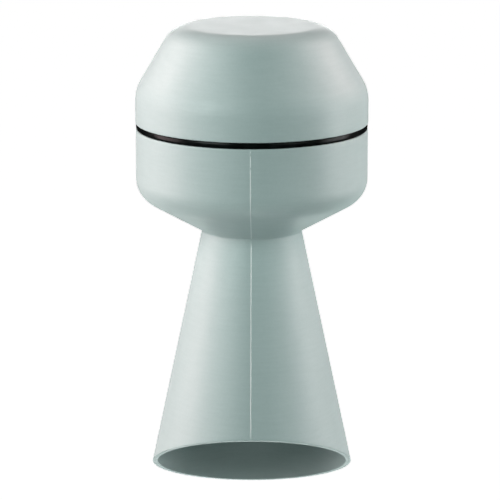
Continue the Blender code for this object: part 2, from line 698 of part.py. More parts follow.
def control_knob(material, parent):
    """Lobed knob with a hub on top for the tube and its pin, and a recess under it."""
    face = KNOB_RADIUS - KNOB_EDGE
    recess = KNOB_CAP_RADIUS + GAP
    section = [
        (0, KNOB_BORE_Z - KNOB_WEB),
        (recess, KNOB_BORE_Z - KNOB_WEB),
        (recess, KNOB_BOTTOM),
        (face, KNOB_BOTTOM),
        (KNOB_RADIUS, KNOB_BOTTOM + KNOB_EDGE),
        (KNOB_RADIUS, KNOB_TOP_Z - KNOB_EDGE),
        (face, KNOB_TOP_Z),
        (KNOB_HUB_RADIUS, KNOB_TOP_Z),
        (KNOB_HUB_RADIUS, KNOB_TOP_Z + KNOB_HUB_HEIGHT),
        (TUBE_RADIUS + GAP, KNOB_TOP_Z + KNOB_HUB_HEIGHT),
        (TUBE_RADIUS + GAP, KNOB_BORE_Z),
        (0, KNOB_BORE_Z),
    ]
    mesh = bmesh.new()
    add_turned(mesh, section, KNOB_LOBES * 6)
    for vertex in mesh.verts:
        radius = math.hypot(vertex.co.x, vertex.co.y)
        if radius > face - GAP:
            lobe = KNOB_LOBES * math.atan2(vertex.co.y, vertex.co.x)
            scale = 1 - KNOB_FLUTE * (0.5 - 0.5 * math.cos(lobe)) / radius
            vertex.co.x *= scale
            vertex.co.y *= scale
    knob = solid("control_knob", mesh, material, parent)
    combine(knob, "DIFFERENCE", "knob_pin_hole", pin_hole())


def knob_cap(material, parent):
    mesh = bmesh.new()
    add_rod(mesh, KNOB_CAP_RADIUS, KNOB_CAP_Z, KNOB_CAP_Z + KNOB_CAP_THICKNESS, FIT_SEGMENTS)
    solid("knob_cap", mesh, material, parent)


# Pieces that rise with the cap


def cap_corners():
    return [
        (0, CAP_TOP_Z, 0),
        (CAP_TOP_RADIUS, CAP_TOP_Z, CAP_TOP_FILLET),
        (CAP_RADIUS, CAP_CREASE_Z, CAP_CREASE_FILLET),
        (CAP_RADIUS, CAP_EDGE_Z, 0),
    ]


def cap_shell(material, parent):
    """Mushroom cap with a central boss and radial ribs under its crown."""
    outer = rounded(cap_corners())
    inner = rounded(inset(cap_corners(), WALL))
    boss = [
        (0, INSERT_TOP_Z + GAP),
        (BOSS_BORE, INSERT_TOP_Z + GAP),
        (BOSS_BORE, BOSS_Z),
        (BOSS_RADIUS, BOSS_Z),
        (BOSS_RADIUS, CAP_TOP_Z - WALL),
    ]
    mesh = bmesh.new()
    add_turned(mesh, boss + inner[1:] + outer[::-1], SHELL_SEGMENTS)
    cap = solid("cap_shell", mesh, material, parent)
    rib_start = (BOSS_BORE + BOSS_RADIUS) / 2
    crown = inset(cap_corners(), WALL / 2)
    foot = CAP_CREASE_Z - RIB_ON_SKIRT
    crown[0] = (rib_start, crown[0][1], 0)
    crown[-1] = (crown[-1][0], foot, 0)
    outline = rounded(crown) + [(rib_start, BOSS_Z + RIB_FOOT)]
    ribs = bmesh.new()
    for place in around(RIB_COUNT, math.pi / RIB_COUNT):
        add_prism(ribs, outline, -RIB_THICKNESS / 2, RIB_THICKNESS / 2, place @ UPRIGHT)
    combine(cap, "UNION", "cap_ribs", ribs)


def cap_seal(material, parent):
    """Rubber ring between cap and drum, with a leg inside the cap's skirt."""
    profile = [
        (SEAL_LEG_INNER, DRUM_TOP_Z + GAP),
        (CAP_RADIUS - SEAL_RECESS, DRUM_TOP_Z + GAP),
        (CAP_RADIUS - SEAL_RECESS, CAP_EDGE_Z - GAP),
        (SEAL_LEG_OUTER, CAP_EDGE_Z - GAP),
        (SEAL_LEG_OUTER, CAP_EDGE_Z + SEAL_LEG_HEIGHT),
        (SEAL_LEG_INNER, CAP_EDGE_Z + SEAL_LEG_HEIGHT),
    ]
    turned_piece("cap_seal", profile, material, parent, SHELL_SEGMENTS)


def seal_hoop(material, parent):
    outer = SEAL_LEG_INNER - GAP
    section = tube_section(outer - HOOP_THICKNESS, outer, CAP_EDGE_Z, CAP_EDGE_Z + HOOP_HEIGHT)
    turned_piece("seal_hoop", section, material, parent, SHELL_SEGMENTS)


def cap_insert(material, parent):
    section = [
        (SPINDLE_BORE, INSERT_BOTTOM_Z),
        (BOSS_RADIUS, INSERT_BOTTOM_Z),
        (BOSS_RADIUS, INSERT_BOTTOM_Z + INSERT_FLANGE),
        (INSERT_RADIUS, INSERT_BOTTOM_Z + INSERT_FLANGE),
        (INSERT_RADIUS, INSERT_TOP_Z),
        (SPINDLE_BORE, INSERT_TOP_Z),
    ]
    turned_piece("cap_insert", section, material, parent)


def hub_fasteners(material, parent):
    """Washer and lock nut that clamp the spindle to the cap's insert."""
    section = tube_section(
        SPINDLE_BORE, SPINDLE_BORE + HUB_WASHER_WIDTH, HUB_WASHER_Z, HUB_WASHER_Z + HUB_WASHER_THICKNESS
    )
    turned_piece("hub_washer", section, material, parent)
    mesh = bmesh.new()
    corner = (SPINDLE_BORE + LOCK_NUT_WALL) / math.cos(math.pi / 6)
    add_prism(mesh, circle(corner, segments=6), LOCK_NUT_Z, LOCK_NUT_Z + LOCK_NUT_HEIGHT)
    nut = solid("lock_nut", mesh, material, parent)
    bore = bmesh.new()
    add_rod(bore, SPINDLE_BORE, LOCK_NUT_Z - WALL, LOCK_NUT_Z + LOCK_NUT_HEIGHT + WALL, FIT_SEGMENTS)
    combine(nut, "DIFFERENCE", "lock_nut_bore", bore)


def spindle(material, parent):
    """Screw with two flats along it, and a groove near its lower end for the stop circlip."""
    mesh = bmesh.new()
    add_prism(mesh, double_d(SPINDLE_RADIUS, SPINDLE_FLAT), SPINDLE_BOTTOM_Z, INSERT_TOP_Z - GAP)
    rod = solid("spindle", mesh, material, parent)
    groove = bmesh.new()
    section = tube_section(
        SPINDLE_FLAT - STOP_GROOVE_DEPTH,
        2 * SPINDLE_RADIUS,
        STOP_CIRCLIP_Z - GAP,
        STOP_CIRCLIP_Z + CIRCLIP_THICKNESS + GAP,
    )
    add_turned(groove, section)
    combine(rod, "DIFFERENCE", "stop_groove", groove)


def spindle_stop(material, parent):
    """Collar that meets the nut at full lift, and the circlip that carries it."""
    outer = SPINDLE_BORE + STOP_COLLAR_WALL
    collar = tube_section(SPINDLE_BORE, outer, STOP_COLLAR_Z, STOP_COLLAR_Z + STOP_COLLAR_HEIGHT)
    turned_piece("stop_collar", collar, material, parent)
    mesh = bmesh.new()
    section = tube_section(
        SPINDLE_FLAT - STOP_GROOVE_DEPTH + GAP,
        outer,
        STOP_CIRCLIP_Z,
        STOP_CIRCLIP_Z + CIRCLIP_THICKNESS,
    )
    add_turned(mesh, section, FIT_SEGMENTS, sweep=FULL_TURN - CIRCLIP_SLOT)
    solid("stop_circlip", mesh, material, parent)


def build():
    for existing in list(bpy.data.objects):
        bpy.data.objects.remove(existing, do_unlink=True)
    shell = plastic("grey_green_plastic", (0.456, 0.533, 0.514), 0.38)
    nylon = plastic("black_nylon", (0.02, 0.022, 0.024), 0.45)
    rubber = plastic("black_rubber", (0.006, 0.008, 0.008), 0.3)
    steel = plastic("stainless_steel", (0.6, 0.6, 0.58), 0.3, 1.0)
    brass = plastic("brass", (0.62, 0.42, 0.16), 0.32, 1.0)
    alloy = plastic("anodised_aluminium", (0.55, 0.56, 0.58), 0.35, 1.0)

    body_moulding(shell)
    throat_sleeve(nylon)
    gasket = tube_section(NECK_BORE, FLANGE_RADIUS, SEAT_Z + GAP, FLANGE_Z - GAP)
    turned_piece("throat_gasket", gasket, rubber, segments=SHELL_SEGMENTS)
    insect_screen(steel)
    screen_ring(nylon)
    sleeve_fasteners(steel)
    nut_circlip(steel)

    turning = axis_empty("knob_turn_axis", NUT_SHOULDER_Z)
    drive_nut(brass, turning)
    thrust_washers(steel, turning)
    drive_tube(alloy, turning)
    drive_fasteners(steel, turning)
    control_knob(nylon, turning)
    knob_cap(shell, turning)

    rising = axis_empty("cap_lift_axis", CAP_EDGE_Z)
    cap_shell(shell, rising)
    cap_seal(rubber, rising)
    seal_hoop(steel, rising)
    cap_insert(brass, rising)
    hub_fasteners(steel, rising)
    spindle(steel, rising)
    spindle_stop(steel, rising)


build()
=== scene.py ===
"""Looks of the mushroom-head cowl vent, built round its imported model. Metres, +Z up.

The origin is where the trunk's axis crosses the slanted plane of its mouth, and the
mouth's high side faces -Y, towards the camera.
"""

import json
import math

import bmesh
import bpy
from mathutils import Matrix, Vector

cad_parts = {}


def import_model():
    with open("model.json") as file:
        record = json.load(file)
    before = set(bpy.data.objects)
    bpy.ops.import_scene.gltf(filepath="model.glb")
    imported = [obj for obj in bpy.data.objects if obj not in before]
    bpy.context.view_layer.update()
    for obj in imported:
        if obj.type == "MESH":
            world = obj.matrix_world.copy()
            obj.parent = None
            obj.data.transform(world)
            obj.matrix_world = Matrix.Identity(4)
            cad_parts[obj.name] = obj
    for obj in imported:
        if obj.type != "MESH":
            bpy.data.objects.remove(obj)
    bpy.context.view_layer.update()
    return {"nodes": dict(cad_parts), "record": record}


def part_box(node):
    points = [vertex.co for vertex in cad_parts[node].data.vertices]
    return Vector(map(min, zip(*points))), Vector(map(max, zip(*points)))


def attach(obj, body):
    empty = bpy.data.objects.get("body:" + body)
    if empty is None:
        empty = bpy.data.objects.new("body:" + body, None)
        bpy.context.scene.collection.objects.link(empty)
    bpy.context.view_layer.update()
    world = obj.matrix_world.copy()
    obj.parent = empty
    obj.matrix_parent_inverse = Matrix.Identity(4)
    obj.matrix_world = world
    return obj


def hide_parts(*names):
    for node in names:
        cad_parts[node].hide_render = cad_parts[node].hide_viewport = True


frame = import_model()

# Outer form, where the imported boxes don't give it
MOUTH_RADIUS = 0.0501
MOUTH_SLANT = math.radians(26.2)
NECK_Z = 0.1195
NECK_RADIUS = 0.0248
NECK_FILLET = 0.0012
DRUM_CORNER_Z = 0.138
DRUM_CORNER_FILLET = 0.0136
CAP_CREASE_ABOVE_EDGE = 0.0164
CAP_CREASE_FILLET = 0.0197
CAP_TOP_RADIUS = 0.0389
CAP_TOP_FILLET = 0.0146
WALL = 0.0026
GAP = 0.0003
ON_AXIS = GAP / 10

# Small radii on moulded edges
RIM_FILLET = 0.0003
DRUM_EDGE_FILLET = 0.0005
CAP_EDGE_FILLET = 0.0005
INNER_EDGE_FILLET = 0.0004
BORE_FILLET = 0.004
NODE_BEVEL = 0.0002

# Inside of the drum
SEAT_STEP = 0.0052
PILLAR_HEIGHT = 0.0126
PILLAR_RADIUS = 0.0045
PILLAR_HOLE_RADIUS = 0.0019
PILLAR_HOLE_DEPTH = 0.008
DRAIN_RADIUS = 0.002
DRAIN_SPREAD = math.radians(50)

# Inside of the cap
BOSS_DEPTH = 0.0177
BOSS_BORE = 0.0083
BOSS_RADIUS = 0.0105
BOSS_ROOT_FILLET = 0.001
BOSS_FILLET = 0.0003
RIB_COUNT = 6
RIB_HALF = 0.001
RIB_FOOT = 0.0042

# Seal
SEAL_LEG = 0.0025
SEAL_CLEARANCE = 0.00004
SEAL_BULGE = 0.00005
BEAD_FLAT = 0.0012
BEAD_SIDE = 0.0002
BEAD_RISE = 0.0001
BEAD_HEEL = 0.0003
BEAD_FILLET = 0.0004
BEAD_CROWN_FILLET = 0.004
SEAL_LEG_FILLET = 0.0005

# Control knob
KNOB_HEIGHT = 0.018
KNOB_HUB_RADIUS = 0.013
KNOB_WEB = 0.0022
KNOB_FLUTE = 0.0022
KNOB_LOBES = 8
KNOB_EDGE_FILLET = 0.0022
KNOB_HUB_FILLET = 0.0015
KNOB_HUB_MARGIN = 0.002
KNOB_COLUMNS_PER_LOBE = 20

# Insect screen and spindle
WIRE_RADIUS = 0.00014
WIRE_PITCH = 0.0016
WIRE_SIDES = 6
WIRE_STEPS_PER_PITCH = 6
SCREEN_RIM_WIDTH = 0.0020
SCREEN_HUB_WIDTH = 0.0016
SCREEN_HOLE_INSET = 0.0158
SCREEN_FILLET = 0.00015
THREAD_LEAD = 0.006
THREAD_STARTS = 2
THREAD_DEPTH = 0.0006
THREAD_ROW = 0.00022
SPINDLE_COLUMNS = 60
SPINDLE_CHAMFER = 0.0005
GROOVE_DEPTH = 0.0008

# Parting line of the two mould halves
PARTING_AZIMUTH = math.radians(-90.6)
PARTING_HEIGHT = 0.00024
PARTING_OFFSETS = (-0.00032, -0.00008, 0.00008, 0.00032)
PARTING_NICKS = (0.1680, 0.1611, 0.1192)
PARTING_NICK_HALF = 0.0006

# Stage
CAMERA_ELEVATION = math.radians(12.49)
CAMERA_DISTANCE = 1.75
CAMERA_AIM = Vector((-0.0009, 0, 0.1085))
CAMERA_LENS = 252
CAMERA_SENSOR = 36
FLOOR_Z = -0.95
FLOOR_HALF = 12
LIGHT_AIM_Z = 0.10
NEUTRAL = (1, 1, 1)
WARM = (1, 0.80, 0.81)
COOL = (0.90, 1, 0.98)

# Facets
COLUMN_STEP = math.radians(1.25)
FULL_TURN = 2 * math.pi
SHARP_ANGLE = math.radians(38)
CIRCLE_SIDES = 48

_, body_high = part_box("body_moulding")
cap_low, cap_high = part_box("cap_shell")
DRUM_RADIUS = body_high.x
DRUM_TOP_Z = body_high.z
CAP_RADIUS = cap_high.x
CAP_EDGE_Z = cap_low.z
CAP_TOP_Z = cap_high.z
CAP_CREASE_Z = CAP_EDGE_Z + CAP_CREASE_ABOVE_EDGE
FLARE = (MOUTH_RADIUS - NECK_RADIUS) / NECK_Z
FLOOR_SLOPE = math.atan2(DRUM_CORNER_Z - NECK_Z, DRUM_RADIUS - NECK_RADIUS)


# Outlines: corners are (radius, height, fillet, steps round the fillet, spans to the next)


def arc_at(before, here, after):
    """The points of one corner's fillet, or the corner itself."""
    corner = Vector(here[:2])
    back = Vector(before[:2]) - corner
    ahead = Vector(after[:2]) - corner
    if here[2] == 0:
        return [corner]
    half = back.angle(ahead) / 2
    reach = min(here[2] / math.tan(half), back.length / 2, ahead.length / 2)
    radius = reach * math.tan(half)
    back.normalize()
    ahead.normalize()
    centre = corner + (back + ahead).normalized() * radius / math.sin(half)
    start = (corner + back * reach - centre).normalized()
    end = (corner + ahead * reach - centre).normalized()
    return [centre + start.slerp(end, i / here[3]) * radius for i in range(here[3] + 1)]


def closed_outline(corners):
    """The whole closed section: every fillet, and every straight run cut into its spans."""
    count = len(corners)
    arcs = [arc_at(corners[i - 1], corners[i], corners[(i + 1) % count]) for i in range(count)]
    points = []
    for i, arc in enumerate(arcs):
        points += arc
        start = arc[-1]
        end = arcs[(i + 1) % count][0]
        spans = corners[i][4]
        points += [start.lerp(end, k / spans) for k in range(1, spans)]
    return points


def columns(step=COLUMN_STEP):
    count = round(FULL_TURN / step)
    return [FULL_TURN * i / count for i in range(count)]


def turned_rings(corners, angles=None):
    """Rings of points round Z, one for each point of the section."""
    angles = angles or columns()
    rings = []
    for radius, height in closed_outline(corners):
        if radius < ON_AXIS:
            rings.append([Vector((0, 0, height))])
        else:
            rings.append([Vector((radius * math.cos(a), radius * math.sin(a), height)) for a in angles])
    return rings


# Meshes and objects


def add_skin(mesh, rings):
    """Adds the closed surface through the rings, in order. A ring of one point closes as a fan."""
    loops = [[mesh.verts.new(point) for point in ring] for ring in rings]
    for low, high in zip(loops, loops[1:] + loops[:1]):
        count = max(len(low), len(high))
        if count == 1:
            continue
        for i in range(count):
            j = (i + 1) % count
            corners = (low[i % len(low)], low[j % len(low)], high[j % len(high)], high[i % len(high)])
            mesh.faces.new(list(dict.fromkeys(corners)))


def add_wire(mesh, path, across, up):
    """Adds a closed wire along the path, with two directions across it."""
    loops = []
    for point in path:
        ring = []
        for k in range(WIRE_SIDES):
            angle = FULL_TURN * k / WIRE_SIDES
            out = across * math.cos(angle) + up * math.sin(angle)
            ring.append(mesh.verts.new(point + out * WIRE_RADIUS))
        loops.append(ring)
    for low, high in zip(loops, loops[1:]):
        for k in range(WIRE_SIDES):
            following = (k + 1) % WIRE_SIDES
            mesh.faces.new((low[k], low[following], high[following], high[k]))
    mesh.faces.new(loops[0])
    mesh.faces.new(loops[-1])


def add_prism(mesh, outline, low, high, place=Matrix()):
    """Adds a flat outline extruded from low to high. low may be a function of the point."""
    rings = []
    for level in (low, high):
        ring = []
        for x, y in outline:
            height = level(x, y) if callable(level) else level
            ring.append(mesh.verts.new(place @ Vector((x, y, height))))
        mesh.faces.new(ring)
        rings.append(ring)
    for i in range(len(outline)):
        j = (i + 1) % len(outline)
        mesh.faces.new((rings[0][i], rings[0][j], rings[1][j], rings[1][i]))


def circle(radius, centre=(0, 0)):
    angles = [FULL_TURN * i / CIRCLE_SIDES for i in range(CIRCLE_SIDES)]
    return [(centre[0] + radius * math.cos(a), centre[1] + radius * math.sin(a)) for a in angles]


def around(count, start):
    """Placements at equal angles round the Z axis."""
    return [Matrix.Rotation(start + FULL_TURN * i / count, 4, "Z") for i in range(count)]


def new_object(name, mesh):
    bmesh.ops.recalc_face_normals(mesh, faces=mesh.faces)
    data = bpy.data.meshes.new(name)
    mesh.to_mesh(data)
    mesh.free()
    item = bpy.data.objects.new(name, data)
    bpy.context.scene.collection.objects.link(item)
    return item


def combine(piece, operation, mesh):
    """Joins or cuts the piece with another solid, and keeps only the result."""
    helper = new_object("helper", mesh)
    modifier = piece.modifiers.new("combine", "BOOLEAN")
    modifier.operation = operation
    modifier.solver = "EXACT"
    modifier.object = helper
    graph = bpy.context.evaluated_depsgraph_get()
    result = bpy.data.meshes.new_from_object(piece.evaluated_get(graph))
    piece.modifiers.clear()
    piece.data = result
    bpy.data.objects.remove(helper, do_unlink=True)


def dress(piece, body, nodes, material):
    """Shades the piece, gives it its material and puts it in the place of its CAD nodes."""
    piece.data.shade_smooth()
    piece.data.set_sharp_from_angle(angle=SHARP_ANGLE)
    piece.data.materials.clear()
    piece.data.materials.append(material)
    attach(piece, body)
    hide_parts(*nodes)


# Materials


def add_node(tree, kind, inputs=None, **settings):
    item = tree.nodes.new(kind)
    for key, value in settings.items():
        setattr(item, key, value)
    for key, value in (inputs or {}).items():
        if isinstance(value, bpy.types.NodeSocket):
            tree.links.new(value, item.inputs[key])
        else:
            item.inputs[key].default_value = value
    return item


def noise(tree, vector, scale, detail=2.0, roughness=0.5):
    inputs = {"Vector": vector, "Scale": scale, "Detail": detail, "Roughness": roughness}
    return add_node(tree, "ShaderNodeTexNoise", inputs).outputs["Fac"]


def remap(tree, value, low, high, to_low, to_high):
    inputs = {"Value": value, "From Min": low, "From Max": high, "To Min": to_low, "To Max": to_high}
    return add_node(tree, "ShaderNodeMapRange", inputs).outputs["Result"]


def scaled(tree, vector, scale):
    inputs = {0: vector, 1: scale}
    return add_node(tree, "ShaderNodeVectorMath", inputs, operation="MULTIPLY").outputs[0]


def maths(tree, operation, first, second=0.0):
    return add_node(tree, "ShaderNodeMath", {0: first, 1: second}, operation=operation).outputs[0]


def mix_colour(tree, factor, first, second):
    item = add_node(tree, "ShaderNodeMix", data_type="RGBA")
    for index, value in ((0, factor), (6, first), (7, second)):
        if isinstance(value, bpy.types.NodeSocket):
            tree.links.new(value, item.inputs[index])
        else:
            item.inputs[index].default_value = value
    return item.outputs[2]


def bump(tree, height, distance, normal=None):
    inputs = {"Height": height, "Distance": distance, "Strength": 1.0}
    if normal is not None:
        inputs["Normal"] = normal
    return add_node(tree, "ShaderNodeBump", inputs).outputs["Normal"]


def edge_mask(tree, radius, vector, scale):
    """Near 1 on the worn part of outer and inner edges, broken up by noise."""
    soft = add_node(tree, "ShaderNodeBevel", {"Radius": radius}, samples=6).outputs[0]
    flat = add_node(tree, "ShaderNodeNewGeometry").outputs["Normal"]
    same = add_node(tree, "ShaderNodeVectorMath", {0: soft, 1: flat}, operation="DOT_PRODUCT")
    bend = remap(tree, same.outputs["Value"], 1.0, 0.90, 0.0, 1.0)
    worn = remap(tree, noise(tree, vector, scale, 4.0), 0.40, 0.62, 0.15, 1.0)
    return maths(tree, "MULTIPLY", bend, worn)


def new_material(name):
    material = bpy.data.materials.new(name)
    material.use_nodes = True
    tree = material.node_tree
    shader = tree.nodes["Principled BSDF"]
    place = add_node(tree, "ShaderNodeTexCoord").outputs["Object"]
    return material, tree, shader, place


def moulded_plastic():
    """Satin grey-green plastic: faint mottling, fine lines round it, grain, paler worn edges and a
    painted highlight along the parting line's crest.
    """
    material, tree, shader, place = new_material("moulded_grey_green")
    cloudy = noise(tree, scaled(tree, place, (1, 1, 0.45)), 55, 3.0)
    fine = noise(tree, place, 900, 3.0)
    lines = noise(tree, scaled(tree, place, (0.1, 0.1, 1)), 850, 2.0)
    clouds_share = remap(tree, cloudy, 0.3, 0.7, 0.0, 0.35)
    fine_share = remap(tree, fine, 0.3, 0.7, 0.0, 0.33)
    lines_share = remap(tree, lines, 0.35, 0.65, 0.0, 0.32)
    tone = maths(tree, "ADD", maths(tree, "ADD", clouds_share, fine_share), lines_share)
    body = mix_colour(tree, tone, (0.396, 0.498, 0.487, 1), (0.442, 0.545, 0.534, 1))
    worn = edge_mask(tree, 0.0006, place, 260)
    edged = mix_colour(tree, maths(tree, "MULTIPLY", worn, 0.35), body, (0.60, 0.69, 0.675, 1))
    # Painted highlight: where the body's crest attribute is 1, the colour is mixed to a pale tone along
    # the parting line
    painted_crest_highlight = add_node(tree, "ShaderNodeAttribute", attribute_name="painted_crest_highlight").outputs["Fac"]
    colour = mix_colour(tree, painted_crest_highlight, edged, (0.69, 0.76, 0.75, 1))
    tree.links.new(colour, shader.inputs["Base Color"])
    smear = noise(tree, scaled(tree, place, (1, 1, 0.3)), 140, 4.0)
    satin = remap(tree, smear, 0.3, 0.7, 0.48, 0.55)
    rough = maths(tree, "ADD", satin, maths(tree, "MULTIPLY", worn, 0.08))
    tree.links.new(rough, shader.inputs["Roughness"])
    grain = noise(tree, place, 2600, 2.0)
    waves = noise(tree, place, 70, 1.0)
    soft = bump(tree, waves, 0.00006)
    tree.links.new(bump(tree, grain, 0.000006, normal=soft), shader.inputs["Normal"])
    shader.inputs["IOR"].default_value = 1.5
    return material


def black_nylon():
    """Glass-filled nylon: near black, with fine streaks and greyer worn edges."""
    material, tree, shader, place = new_material("glass_filled_nylon")
    streak = noise(tree, scaled(tree, place, (1, 1, 0.2)), 600, 4.0)
    worn = edge_mask(tree, 0.0005, place, 400)
    tone = remap(tree, streak, 0.3, 0.7, 0.0, 1.0)
    body = mix_colour(tree, tone, (0.016, 0.018, 0.019, 1), (0.026, 0.028, 0.030, 1))
    colour = mix_colour(tree, maths(tree, "MULTIPLY", worn, 0.5), body, (0.11, 0.115, 0.12, 1))
    tree.links.new(colour, shader.inputs["Base Color"])
    rough = remap(tree, noise(tree, place, 300, 3.0), 0.3, 0.7, 0.40, 0.52)
    tree.links.new(rough, shader.inputs["Roughness"])
    tree.links.new(bump(tree, noise(tree, place, 1800, 3.0), 0.00002), shader.inputs["Normal"])
    return material


def black_rubber():
    """Glossy nitrile rubber with a fine skin and a little bloom."""
    material, tree, shader, place = new_material("nitrile_rubber")
    bloom = noise(tree, place, 220, 5.0, 0.6)
    tone = remap(tree, bloom, 0.45, 0.75, 0.0, 1.0)
    colour = mix_colour(tree, tone, (0.0025, 0.0035, 0.0033, 1), (0.007, 0.0095, 0.009, 1))
    tree.links.new(colour, shader.inputs["Base Color"])
    tree.links.new(remap(tree, bloom, 0.3, 0.75, 0.17, 0.27), shader.inputs["Roughness"])
    shader.inputs["Specular IOR Level"].default_value = 0.08
    tree.links.new(bump(tree, noise(tree, place, 1500, 2.0), 0.00001), shader.inputs["Normal"])
    return material


def turned_metal(name, light, dark, roughness):
    """Metal with fine tool marks that run round the vent's axis, and brighter worn edges."""
    material, tree, shader, place = new_material(name)
    parts = add_node(tree, "ShaderNodeSeparateXYZ", {0: place})
    flat = add_node(tree, "ShaderNodeCombineXYZ", {0: parts.outputs[0], 1: parts.outputs[1]}).outputs[0]
    radius = add_node(tree, "ShaderNodeVectorMath", {0: flat}, operation="LENGTH").outputs["Value"]
    lathe = add_node(tree, "ShaderNodeCombineXYZ", {0: radius, 1: parts.outputs[2]}).outputs[0]
    marks = noise(tree, lathe, 9000, 3.0, 0.7)
    stain = noise(tree, place, 180, 4.0)
    tone = mix_colour(tree, remap(tree, stain, 0.35, 0.7, 0.0, 1.0), light, dark)
    worn = edge_mask(tree, 0.0003, place, 500)
    colour = mix_colour(tree, maths(tree, "MULTIPLY", worn, 0.4), tone, (0.86, 0.86, 0.84, 1))
    tree.links.new(colour, shader.inputs["Base Color"])
    shader.inputs["Metallic"].default_value = 1.0
    cut = remap(tree, marks, 0.3, 0.7, roughness - 0.06, roughness + 0.06)
    rough = maths(tree, "ADD", cut, maths(tree, "MULTIPLY", stain, 0.05))
    tree.links.new(rough, shader.inputs["Roughness"])
    tree.links.new(bump(tree, marks, 0.000004), shader.inputs["Normal"])
    return material


# Pieces that replace a CAD node


def inner_floor_height(radius, depth=WALL):
    rise = (radius - NECK_RADIUS) * math.tan(FLOOR_SLOPE)
    return NECK_Z + rise + depth / math.cos(FLOOR_SLOPE)


def cut_point(straight_radius, azimuth):
    """Where a flared wall meets the slanted plane of the mouth at this azimuth."""
    tilt = math.sin(azimuth) * math.tan(MOUTH_SLANT)
    radius = straight_radius / (1 - tilt * FLARE)
    return radius, -radius * tilt


def body_corners(azimuth):
    """The body's section at this azimuth. Its first three runs are the outside, down to the rim."""
    flare_angle = math.atan(FLARE)
    inner_mouth = MOUTH_RADIUS - WALL / math.cos(flare_angle)
    bore = NECK_RADIUS - WALL
    neck_end = (inner_mouth - bore) / FLARE
    seat_radius = NECK_RADIUS + SEAT_STEP
    seat_z = inner_floor_height(seat_radius)
    inner_drum = DRUM_RADIUS - WALL
    return [
        (DRUM_RADIUS, DRUM_TOP_Z, DRUM_EDGE_FILLET, 5, 30),
        (DRUM_RADIUS, DRUM_CORNER_Z, DRUM_CORNER_FILLET, 20, 8),
        (NECK_RADIUS, NECK_Z, NECK_FILLET, 12, 44),
        (*cut_point(MOUTH_RADIUS, azimuth), RIM_FILLET, 8, 2),
        (*cut_point(inner_mouth, azimuth), INNER_EDGE_FILLET, 6, 24),
        (bore, neck_end, BORE_FILLET, 6, 4),
        (bore, seat_z, INNER_EDGE_FILLET, 4, 3),
        (seat_radius, seat_z, INNER_EDGE_FILLET, 3, 12),
        (inner_drum, inner_floor_height(inner_drum), DRUM_CORNER_FILLET - WALL, 14, 8),
        (inner_drum, DRUM_TOP_Z, DRUM_EDGE_FILLET, 5, 3),
    ]


def parting_height(height, azimuth):
    """How far the parting line stands out of the moulding at this height."""
    rim = cut_point(MOUTH_RADIUS, azimuth)[1] + 2 * RIM_FILLET
    if height > DRUM_TOP_Z - DRUM_EDGE_FILLET or height < rim:
        return 0.0
    for nick in PARTING_NICKS:
        if abs(height - nick) < PARTING_NICK_HALF:
            return 0.0
    return PARTING_HEIGHT


def vent_body(material):
    """Drum, neck and trunk in one moulding, with a fine parting line front and back."""
    halves = round(math.pi / COLUMN_STEP)
    lines = []
    for half in (0, 1):
        start = PARTING_AZIMUTH + math.pi * half
        lines += [(start, offset) for offset in PARTING_OFFSETS]
        lines += [(start + COLUMN_STEP * i, 0.0) for i in range(1, halves)]
    sections = [closed_outline(body_corners(azimuth)) for azimuth, _ in lines]
    outside = sum(corner[3] + corner[4] for corner in body_corners(0)[:3]) + 1
    raised = (PARTING_OFFSETS[1], PARTING_OFFSETS[2])
    rings = []
    for k in range(len(sections[0])):
        ring = []
        for (azimuth, offset), section in zip(lines, sections):
            radius, height = section[k]
            angle = azimuth + offset / radius
            if k < outside and offset in raised:
                radius += parting_height(height, azimuth)
            ring.append(Vector((radius * math.cos(angle), radius * math.sin(angle), height)))
        rings.append(ring)
    mesh = bmesh.new()
    add_skin(mesh, rings)
    body = new_object("vent_body", mesh)
    pillars = bmesh.new()
    holes = bmesh.new()
    seat_radius = NECK_RADIUS + SEAT_STEP
    pillar_top = inner_floor_height(seat_radius) + PILLAR_HEIGHT
    screw_low, screw_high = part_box("sleeve_screw_1")
    reach = math.hypot((screw_low.x + screw_high.x) / 2, (screw_low.y + screw_high.y) / 2)
    for place in around(4, math.pi / 4):
        centre = place @ Vector((reach, 0, 0))
        add_prism(pillars, circle(PILLAR_RADIUS, centre), in_floor, pillar_top)
        hole_floor = pillar_top - PILLAR_HOLE_DEPTH
        add_prism(holes, circle(PILLAR_HOLE_RADIUS, centre), hole_floor, pillar_top + WALL)
    for side in (-0.5, 0.5):
        place = Matrix.Rotation(math.pi / 2 + DRAIN_SPREAD * side, 4, "Z")
        centre = place @ Vector((seat_radius + 1.5 * DRAIN_RADIUS, 0, 0))
        add_prism(holes, circle(DRAIN_RADIUS, centre), NECK_Z, pillar_top)
    combine(body, "UNION", pillars)
    combine(body, "DIFFERENCE", holes)
    paint_parting_highlight(body)
    dress(body, "housing", ["body_moulding"], material)


def paint_parting_highlight(body):
    """Paints the crest of the parting line paler than the moulding: a painted highlight standing in for
    the raised line catching the light.
    """
    across = Vector((-math.sin(PARTING_AZIMUTH), math.cos(PARTING_AZIMUTH), 0))
    # Painted highlight: the crest's vertices get 1, and the plastic material mixes them pale
    layer = body.data.attributes.new("painted_crest_highlight", "FLOAT", "POINT")
    for vertex in body.data.vertices:
        x, y, height = vertex.co
        outward = vertex.normal.dot(Vector((x, y, 0))) > 0
        on_crest = abs(vertex.co.dot(across)) < 2 * PARTING_OFFSETS[2]
        azimuth = PARTING_AZIMUTH if y < 0 else PARTING_AZIMUTH + math.pi
        if outward and on_crest and parting_height(height, azimuth) > 0:
            layer.data[vertex.index].value = 1.0


def in_floor(x, y):
    return inner_floor_height(math.hypot(x, y), WALL / 2)


